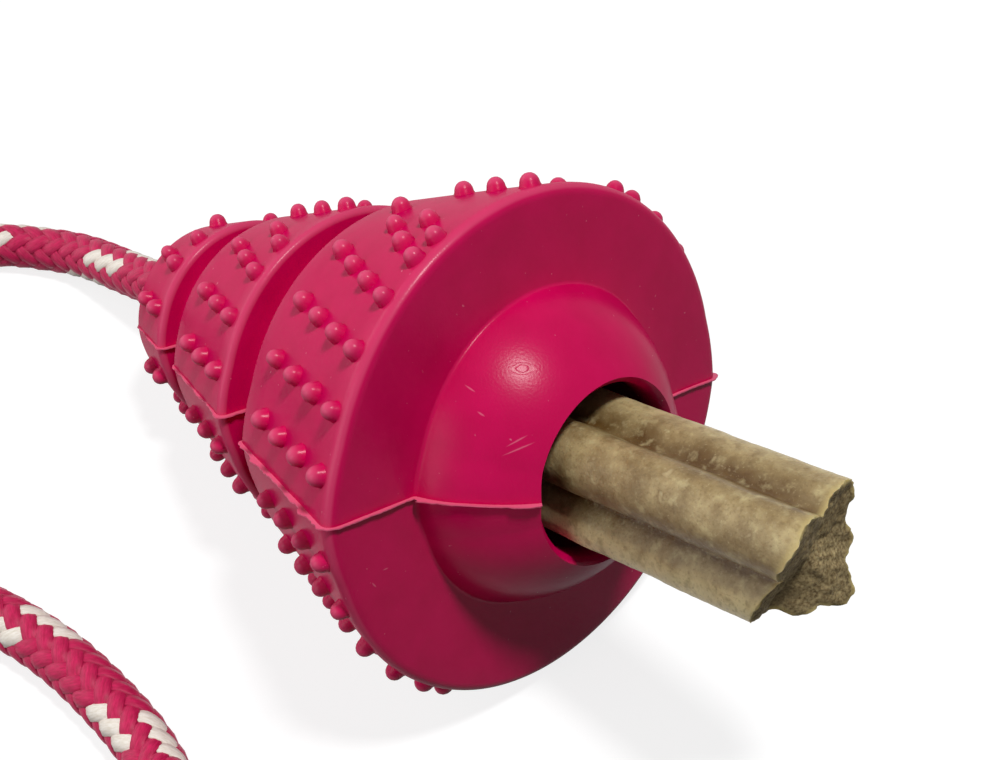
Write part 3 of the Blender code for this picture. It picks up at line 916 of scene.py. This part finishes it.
def makeNub():
    # One nub stands on the origin along Z: a ring, drawn up and in to a rounded tip.
    low, wide = nub["levels"][0]
    circle = bpy.ops.mesh.primitive_circle_add
    piece = startPiece("nub", circle, vertices=nub["sides"], radius=wide * mm)
    bpy.ops.transform.translate(value=(0, 0, low * mm))
    for (oldHeight, oldRadius), (height, radius) in zip(nub["levels"], nub["levels"][1:]):
        extrudeBy(0, 0, (height - oldHeight) * mm)
        share = radius / oldRadius
        bpy.ops.transform.resize(value=(share, share, 1), center_override=(0, 0, height * mm))
    extrudeBy(0, 0, nub["tip"] * mm)
    bpy.ops.mesh.merge(type="CENTER")
    selectWhere(piece, "edges", lambda part: part.is_boundary)
    bpy.ops.mesh.edge_face_add()
    endPiece()
    # Painted sheen: the nub is painted paler towards its top.
    sheenShare = [max(0.0, min(1.0, vert.co.z / mm - nub["sheenFrom"])) for vert in piece.data.vertices]
    addAttribute(piece.data, "paintedSheen", sheenShare)
    return piece


def nubPlaces():
    # Each row keeps one height over the parting plane, so the rows look straight from the side.
    places = []
    for depth, pitch, stageEnd in nub["stages"]:
        middleRadius = flankRadius((depth + stageEnd) / 2)
        rows = int((math.pi / 2 * middleRadius - nub["rowOffset"]) / nub["rowPitch"]) + 1
        heights = [middleRadius * math.sin((nub["rowOffset"] + nub["rowPitch"] * row) / middleRadius)
                   for row in range(rows)]
        while depth <= stageEnd - nub["endMargin"]:
            radius = flankRadius(depth)
            last = 0.0
            for height in heights:
                if height < radius * nub["highestShare"]:
                    last = math.asin(height / radius)
                    places += [(depth, side) for side in (last, math.pi - last, math.pi + last, -last)]
            if (math.pi / 2 - last) * radius >= nub["rowPitch"] * nub["middleShare"]:
                places += [(depth, math.pi / 2), (depth, -math.pi / 2)]
            depth += pitch
    return places


def placeNubs():
    single = makeNub()
    slope = math.atan(flankSlope)
    stand = Vector((math.cos(slope), 0.0, -math.sin(slope))).to_track_quat("Z", "Y").to_matrix().to_4x4()
    dice = random.Random(nub["seed"])
    copies = []
    for depth, angle in nubPlaces():
        size = 1 + dice.uniform(-1, 1) * nub["sizeSpread"]
        turn = Matrix.Rotation(angle, 4, "Z") @ Matrix.Translation((flankRadius(depth), 0.0, -depth))
        spin = Matrix.Rotation(dice.uniform(0, math.pi), 4, "Z") @ Matrix.Diagonal((size, size, 1.0, 1.0))
        copies.append(addObject("nub", single.data.copy()))
        copies[-1].data.transform(turn @ stand @ spin)
    bpy.data.objects.remove(single, do_unlink=True)
    print("nubs placed:", len(copies))
    return copies


flash = {
    "sunk": 0.35 * mm,
    "height": 0.28 * mm,
    "spread": 0.22 * mm,
    "coarseScale": 320.0,
    "fineScale": 1700.0,
    "thickness": 0.15 * mm,
    "step": 0.36 * mm,
    "lean": 0.16 * mm,
    "leanScale": 224.0,
    "rimStageHeight": 0.24 * mm,
    "domeHeight": 0.22 * mm,
    "faceDepth": 0.4 * mm,
    "faceShare": 0.5,
    # Where the edge tore further out on each side, in millimetres: depth below the face, height, half width.
    "tabs": {
        1: ((1.4, 1.0, 1.2), (28.0, 0.5, 0.8), (37.5, 0.5, 0.7)),
        -1: ((0.3, 0.3, 1.5), (5.8, 0.55, 0.9), (9.0, 0.3, 1.6), (18.5, 0.3, 2.5), (22.0, 0.6, 1.1),
             (37.6, 0.6, 0.9), (66.3, 0.4, 0.6)),
    },
    "domeTabs": ((21.9, 0.7, 1.0), (14.0, 0.3, 1.5)),
}


def walkChain(piece):
    # The outline's points in order, from the mouth's lip over the dome, face and stages to the rope hole.
    shape = bmesh.new()
    shape.from_mesh(piece.data)
    start = max(shape.verts, key=lambda part: (round(part.co.z, 6), part.co.x))
    edge = max(start.link_edges, key=lambda part: part.other_vert(start).co.x)
    points = [start.co.copy()]
    vert = edge.other_vert(start)
    while vert != start:
        points.append(vert.co.copy())
        edge = next(part for part in vert.link_edges if part != edge)
        vert = edge.other_vert(vert)
    shape.free()
    inNose = [point.x < coneShape["noseRadius"] * 0.8 and point.z < 0 for point in points]
    return np.array([(point.x, point.z) for point in points[:inNose.index(True)]])


def addFlash(outline, side):
    # The thin torn skin that the two mould halves leave along their joint, on one side of the cone.
    runs = runAlong(outline)
    points = readAlong(np.arange(0, runs[-1], flash["step"]), runs, outline)
    run = np.gradient(points, axis=0)
    run /= np.linalg.norm(run, axis=1)[:, None]
    verts = []
    for (x, z), (runX, runZ) in zip(points, run):
        spot = Vector((x, side, z))
        coarse = noise.noise(spot * flash["coarseScale"])
        fine = noise.noise(spot * flash["fineScale"])
        height = flash["height"] + flash["spread"] * (coarse + fine)
        if z > 0:
            height += flash["domeHeight"]
            tears = [(x / mm - out, extra, half) for out, extra, half in flash["domeTabs"]]
        else:
            if side < 0 and mm < -z < cone["nearGroove"][0]:
                height += flash["rimStageHeight"]
            if -z < flash["faceDepth"]:
                height *= flash["faceShare"]
            tears = [(z / mm + depth, extra, half) for depth, extra, half in flash["tabs"][side]]
        if z > 0 or x > 0.5 * flankRadius(-z):
            height += sum(extra * mm * math.exp(-((away / half) ** 2)) for away, extra, half in tears)
        lean = flash["lean"] * noise.noise(spot * flash["leanScale"] + Vector((7, 3, 1)))
        normal = np.array((-runZ, runX))
        foot = np.array((x, z)) - normal * flash["sunk"]
        edge = np.array((x, z)) + normal * height
        verts.append((foot[0], 0.0, foot[1]))
        verts.append((edge[0], lean, edge[1]))
    faces = [(i, i + 2, i + 3, i + 1) for i in range(0, len(verts) - 2, 2)]
    mesh = bpy.data.meshes.new("flash")
    mesh.from_pydata(verts, [], faces)
    piece = addObject("flash", mesh)
    solid = piece.modifiers.new("thickness", "SOLIDIFY")
    solid.thickness = flash["thickness"]
    solid.offset = 0.0
    pickPiece(piece)
    bpy.ops.object.modifier_apply(modifier=solid.name)
    if side < 0:
        piece.data.transform(Matrix.Rotation(math.pi, 4, "Z"))
    # The mark for the painted glow of the thin skin.
    addAttribute(piece.data, "thinSkinGlow", [1.0] * len(piece.data.vertices))
    return piece


def raiseRidge(piece):
    # The two halves of the mould don't quite meet, so the skin rises to a low ridge along their joint.
    for vert in piece.data.vertices:
        out = math.hypot(vert.co.x, vert.co.y)
        if out < cone["mouthRadius"]:
            continue
        away = abs(math.degrees(math.asin(max(-1.0, min(1.0, vert.co.y / out)))))
        near = max(0.0, 1 - away / cone["ridgeHalfAngle"])
        share = (out - cone["mouthRadius"]) / (coneShape["rimRadius"] - cone["mouthRadius"])
        rise = cone["ridge"] * near * min(1.0, share * cone["ridgeGrowth"])
        vert.co.x += rise * vert.co.x / out
        vert.co.y += rise * vert.co.y / out
        if vert.co.z > 0:
            vert.co.z += cone["domeRidge"] * near * min(1.0, vert.co.z / cone["domeRidgeOver"])


def paintEdgeSheen(piece):
    # Painted sheen: the wide edge of each stage is painted paler, on its flank's side.
    corners = [(flankRadius(depth), -depth) for depth in (0.0, cone["nearGroove"][1], cone["farGroove"][1])]
    sheenShare = []
    for vert in piece.data.vertices:
        out = math.hypot(vert.co.x, vert.co.y)
        away = min(math.hypot(out - x, vert.co.z - z) if out > x - mm else mm + x for x, z in corners)
        sheenShare.append(max(0.0, 1 - away / cone["sheenWidth"]))
    addAttribute(piece.data, "paintedSheen", sheenShare)


def paintBoreShade(piece):
    # Painted shade in the bore: nothing at its lip, all of it a little further in.
    lipHeight = cone["domeHeight"] - cone["lip"]
    shadeShare = []
    for vert in piece.data.vertices:
        inside = math.hypot(vert.co.x, vert.co.y) < cone["mouthRadius"]
        inside = inside and vert.co.z > -cone["boreDepth"] - mm
        shadeShare.append(min(1.0, max(0.0, (lipHeight - vert.co.z) / cone["shadeFade"])) if inside else 0.0)
    addAttribute(piece.data, "boreShade", shadeShare)


def joinPieces(pieces, name):
    pickPiece(pieces[0])
    for piece in pieces[1:]:
        piece.select_set(True)
    bpy.ops.object.join()
    pieces[0].name = name
    pieces[0].data.name = name
    return pieces[0]


def makeCone():
    body = drawChain("rubberCone", coneCorners())
    splitLong(body, cone["longestEdge"])
    outline = walkChain(body)
    fins = [addFlash(outline, side) for side in (1, -1)]
    turnChain(body)
    paintEdgeSheen(body)
    paintBoreShade(body)
    whole = joinPieces([body] + fins + placeNubs(), "rubberCone")
    raiseRidge(whole)
    roughen(whole, cone["wobble"], cone["wobbleScale"])
    whole.data.transform(coneFrame)
    # The nubs that the toy rests on are pressed flat.
    editPiece(whole)
    bpy.ops.mesh.select_all(action="SELECT")
    bpy.ops.mesh.bisect(plane_co=(0, 0, 0), plane_no=(0, 0, 1), use_fill=True, clear_inner=True)
    bpy.ops.object.mode_set(mode="OBJECT")
    dressPiece(whole, 38, rubberMaterial)
    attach(whole, "toy_body")
    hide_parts("rubber_cone")
    print("rubber cone made:", len(whole.data.polygons), "faces")


makeCone()


# Treat stick, in the cone's frame until it is placed

stick = {
    "radius": 9.8 * mm,
    "innerEnd": -31.9 * mm,
    "reach": 42.5 * mm,
    "sides": 168,
    "fineFrom": 8.0 * mm,
    "coarseStep": 2.6 * mm,
    "fineStep": 0.55 * mm,
    "innerInset": 0.4 * mm,
    # Outline and end of the stick by angle from the parting plane: shares of its radius.
    "section": ((20, 0.71), (52, 1.0), (74, 0.88), (96, 0.63), (108, 0.71), (122, 0.92), (138, 0.98),
                (162, 0.93), (179, 0.8), (192, 0.57), (199, 0.62), (213, 0.86), (234, 1.0), (258, 0.8),
                (274, 0.89), (289, 0.8), (310, 1.0), (337, 0.67), (357, 0.79)),
    "breakRise": ((20, 0.02), (66, 0.13), (95, 0.17), (139, 0.38), (183, 0.1), (246, -0.4), (272, -0.15),
                  (306, 0.18), (340, 0.1)),
    # How brown the skin is by angle, with painted shade in the grooves and painted light on the ridges facing
    # the lamps: one is dark, below zero is painted pale.
    "browningAndShading": ((20, 0.9), (52, -0.2), (76, 0.35), (100, 1.0), (124, 0.5), (150, 0.35), (176, 0.7),
                 (192, 1.3), (205, 0.3), (234, -0.9), (262, 0.3), (289, 0.6), (310, 0.0), (337, 0.9),
                 (357, 0.7)),
    "middleShare": -0.04,
    "endRings": 22,
    "tornShare": 0.97,
    "tearReach": 9 * mm,
    # The thin edge of the break: how far down it reaches, and between which shares of the radius it grows.
    "thinReach": 1 * mm,
    "thinShares": (0.925, 0.975),
    # Unevenness: size and scale of the noise, and the share of it left inside the cone and on the broken end.
    "lumps": (0.14 * mm, 190.0),
    "grain": (0.05 * mm, 900.0),
    "shareInside": 0.4,
    "shareOnEnd": 0.3,
    "crumbs": 0.7 * mm,
    "crumbScales": ((0.6, 420.0), (0.4, 1300.0)),
    "chipScale": 700.0,
    "shrink": 0.12 * mm,
}


def readAround(table, degrees):
    # A smooth closed curve through the table's values, read at the given angles.
    angles = np.array([angle for angle, value in table], float)
    values = np.array([value for angle, value in table], float)
    angles = np.concatenate([angles[-3:] - 360, angles, angles[:3] + 360])
    values = np.concatenate([values[-3:], values, values[:3]])
    slopes = np.empty_like(values)
    slopes[1:-1] = (values[2:] - values[:-2]) / (angles[2:] - angles[:-2])
    slopes[0] = slopes[1]
    slopes[-1] = slopes[-2]
    degrees = np.asarray(degrees, float) % 360
    i = np.searchsorted(angles, degrees, side="right") - 1
    span = angles[i + 1] - angles[i]
    t = (degrees - angles[i]) / span
    value = values[i] * (2 * t**3 - 3 * t**2 + 1) + slopes[i] * span * (t**3 - 2 * t**2 + t)
    return value + values[i + 1] * (3 * t**2 - 2 * t**3) + slopes[i + 1] * span * (t**3 - t**2)


def makeStick():
    # A lobed ring drawn out along the axis in short steps, then drawn in to the middle over the broken end.
    circle = bpy.ops.mesh.primitive_circle_add
    piece = startPiece("treatStick", circle, vertices=stick["sides"], radius=stick["radius"])
    shape = bmesh.from_edit_mesh(piece.data)
    for vert in shape.verts:
        degrees = math.degrees(math.atan2(vert.co.y, vert.co.x))
        vert.co *= float(readAround(stick["section"], degrees))
        vert.co.z = stick["innerEnd"]
    bmesh.update_edit_mesh(piece.data)
    bpy.ops.mesh.select_all(action="SELECT")
    bpy.ops.mesh.edge_face_add()
    bpy.ops.mesh.inset(thickness=stick["innerInset"])
    selectWhere(piece, "edges", lambda part: part.is_boundary)
    height = stick["innerEnd"]
    while height < stick["reach"] - 1e-6:
        step = stick["coarseStep"] if height < stick["fineFrom"] else stick["fineStep"]
        step = min(step, stick["reach"] - height)
        extrudeBy(0, 0, step)
        height += step
    for ring in range(stick["endRings"]):
        left = stick["endRings"] - ring
        share = (left - 1) / left if left > 1 else 0.3
        extrudeBy(0, 0, 0)
        bpy.ops.transform.resize(value=(share, share, 1), center_override=(0, 0, height))
    bpy.ops.mesh.edge_face_add()
    bpy.ops.mesh.poke()
    endPiece()
    breakEnd(piece)
    return piece


def breakEnd(piece):
    # The far end follows the tear, and the whole surface gets the lumps and grain of pressed meal.
    mesh = piece.data
    mesh.update()
    normals = [vert.normal.copy() for vert in mesh.vertices]
    tables = [stick[key] for key in ("section", "breakRise", "browningAndShading")]
    thinFrom, thinTo = stick["thinShares"]
    tones, tears, edges = [], [], []
    for vert, normal in zip(mesh.vertices, normals):
        spot = vert.co.copy()
        degrees = math.degrees(math.atan2(spot.y, spot.x))
        section, rise, tone = (float(readAround(table, degrees)) for table in tables)
        share = min(1.0, math.hypot(spot.x, spot.y) / (stick["radius"] * section))
        below = stick["reach"] - spot.z
        onEnd = below < 0.01 * mm
        tones.append(tone)
        tears.append(1.0 if onEnd and share < stick["tornShare"] else 0.0)
        # Painted glow along the thin edge of the break.
        thin = max(0.0, min(1.0, (share - thinFrom) / (thinTo - thinFrom)))
        edges.append(thin * max(0.0, 1 - below / stick["thinReach"]))
        # The tear tells only near the end.
        near = max(0.0, min(1.0, 1 - below / stick["tearReach"]))
        vert.co.z += (stick["middleShare"] * (1 - share) + rise * share) * stick["radius"] * near
        lump = sum(noise.noise(spot * scale) * size for size, scale in (stick["lumps"], stick["grain"]))
        if spot.z < stick["fineFrom"]:
            lump *= stick["shareInside"]
        if onEnd:
            crumb = sum(noise.noise(spot * scale) * size for size, scale in stick["crumbScales"])
            vert.co.z += crumb * stick["crumbs"]
            if share > 0.999:
                vert.co.z -= abs(noise.noise(spot * stick["chipScale"])) * stick["crumbs"]
            lump *= stick["shareOnEnd"]
        vert.co += normal * (lump - stick["shrink"])
    for name, values in (("browningAndShading", tones), ("tornEnd", tears), ("thinEdgeGlow", edges)):
        addAttribute(mesh, name, values)


def placeStick():
    piece = makeStick()
    piece.data.transform(coneFrame)
    pickPiece(piece)
    dressPiece(piece, 50, treatMaterial)
    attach(piece, "treat")
    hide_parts("treat_stick")
    print("treat stick made:", len(piece.data.polygons), "faces")


placeStick()


# Melted end of the rope

seal = {
    "radius": 3.85 * mm,
    "depth": 1.3 * mm,
    "wobble": 0.3 * mm,
    "wobbleScale": 500.0,
}


def placeSeal():
    # The end of the rope is melted to a flat, uneven cap, so that the braid can't come apart.
    ball = bpy.ops.mesh.primitive_uv_sphere_add
    piece = startPiece("ropeTailSeal", ball, segments=32, ring_count=16, radius=seal["radius"])
    bpy.ops.transform.resize(value=(1, 1, seal["depth"] / seal["radius"]), center_override=(0, 0, 0))
    bpy.ops.object.mode_set(mode="OBJECT")
    roughen(piece, seal["wobble"], seal["wobbleScale"])
    lie = Vector(ropeTangent[-1]).to_track_quat("Z", "Y").to_matrix().to_4x4()
    piece.data.transform(Matrix.Translation(Vector(ropePath[-1])) @ lie)
    bpy.ops.object.shade_smooth()
    piece.data.materials.append(meltedMaterial)
    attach(piece, "toy_body")
    print("rope end sealed")


placeSeal()


# Floor, light and background

studio = {
    "floorSize": 6.0,
    "floorShadow": 0.3,
    "floorGlow": 1.16,
    "floorBounce": 0.02,
    "around": 0.12,
    # Lamps: place, width and power.
    "lamps": {
        "keyLight": ((0.17, 0.02, 0.70), 0.12, 3.5),
        "fillLight": ((-0.22, -0.86, 0.38), 0.7, 2.7),
        "sideCard": ((-0.80, -0.34, 0.34), 0.7, 2.3),
    },
    "lampsAimAt": (0, 0, 0.03),
}


def seenDirectly(tree):
    # One for what the camera sees itself, in a mirror or through glass, and nothing for the light passed on.
    path = addNode(tree, "ShaderNodeLightPath")
    glossy = addMath(tree, "MAXIMUM", path.outputs["Is Glossy Ray"], path.outputs["Is Transmission Ray"])
    return addMath(tree, "MAXIMUM", path.outputs["Is Camera Ray"], glossy)


def addStage():
    # A white floor that keeps the object's shadow and throws little light back up.
    bpy.ops.object.select_all(action="DESELECT")
    bpy.ops.mesh.primitive_plane_add(size=studio["floorSize"], location=(0, 0, 0))
    floor = bpy.context.object
    floor.name = "floor"
    material, tree, shader = newMaterial("paleFloor")
    seen = seenDirectly(tree)
    bounce = studio["floorBounce"]
    tone = mixColours(tree, seen, (bounce, bounce, bounce, 1.0), (0.92, 0.92, 0.92, 1.0))
    setInputs(tree, shader, Base_Color=tone, Roughness=0.9, Specular_IOR_Level=0.0)
    glow = addNode(tree, "ShaderNodeEmission", Color=(1, 1, 1, 1), Strength=studio["floorGlow"])
    mix = addNode(tree, "ShaderNodeMixShader")
    glowShare = addMath(tree, "MULTIPLY", seen, 1 - studio["floorShadow"])
    feed(tree, mix.inputs, (glowShare, shader.outputs[0], glow.outputs[0]))
    output = next(node for node in tree.nodes if node.type == "OUTPUT_MATERIAL")
    setInputs(tree, output, Surface=mix.outputs[0])
    floor.data.materials.append(material)


def addLamps():
    for name, (place, width, power) in studio["lamps"].items():
        data = bpy.data.lights.new(name, "AREA")
        data.shape = "DISK"
        data.size = width
        data.energy = power
        lamp = addObject(name, data)
        lamp.location = place
        lamp.rotation_mode = "QUATERNION"
        lamp.rotation_quaternion = (Vector(studio["lampsAimAt"]) - Vector(place)).to_track_quat("-Z", "Y")


def addWorld():
    world = bpy.data.worlds.new("studio")
    bpy.context.scene.world = world
    world.use_nodes = True
    tree = world.node_tree
    tree.nodes.clear()
    strength = addMath(tree, "MULTIPLY_ADD", seenDirectly(tree), 1 - studio["around"], studio["around"])
    sky = addNode(tree, "ShaderNodeBackground", Color=(1, 1, 1, 1), Strength=strength)
    addNode(tree, "ShaderNodeOutputWorld", Surface=sky.outputs[0])


addStage()
addWorld()
addLamps()
print("floor, world and lamps set")
bpy.context.scene.view_settings.view_transform = "Standard"
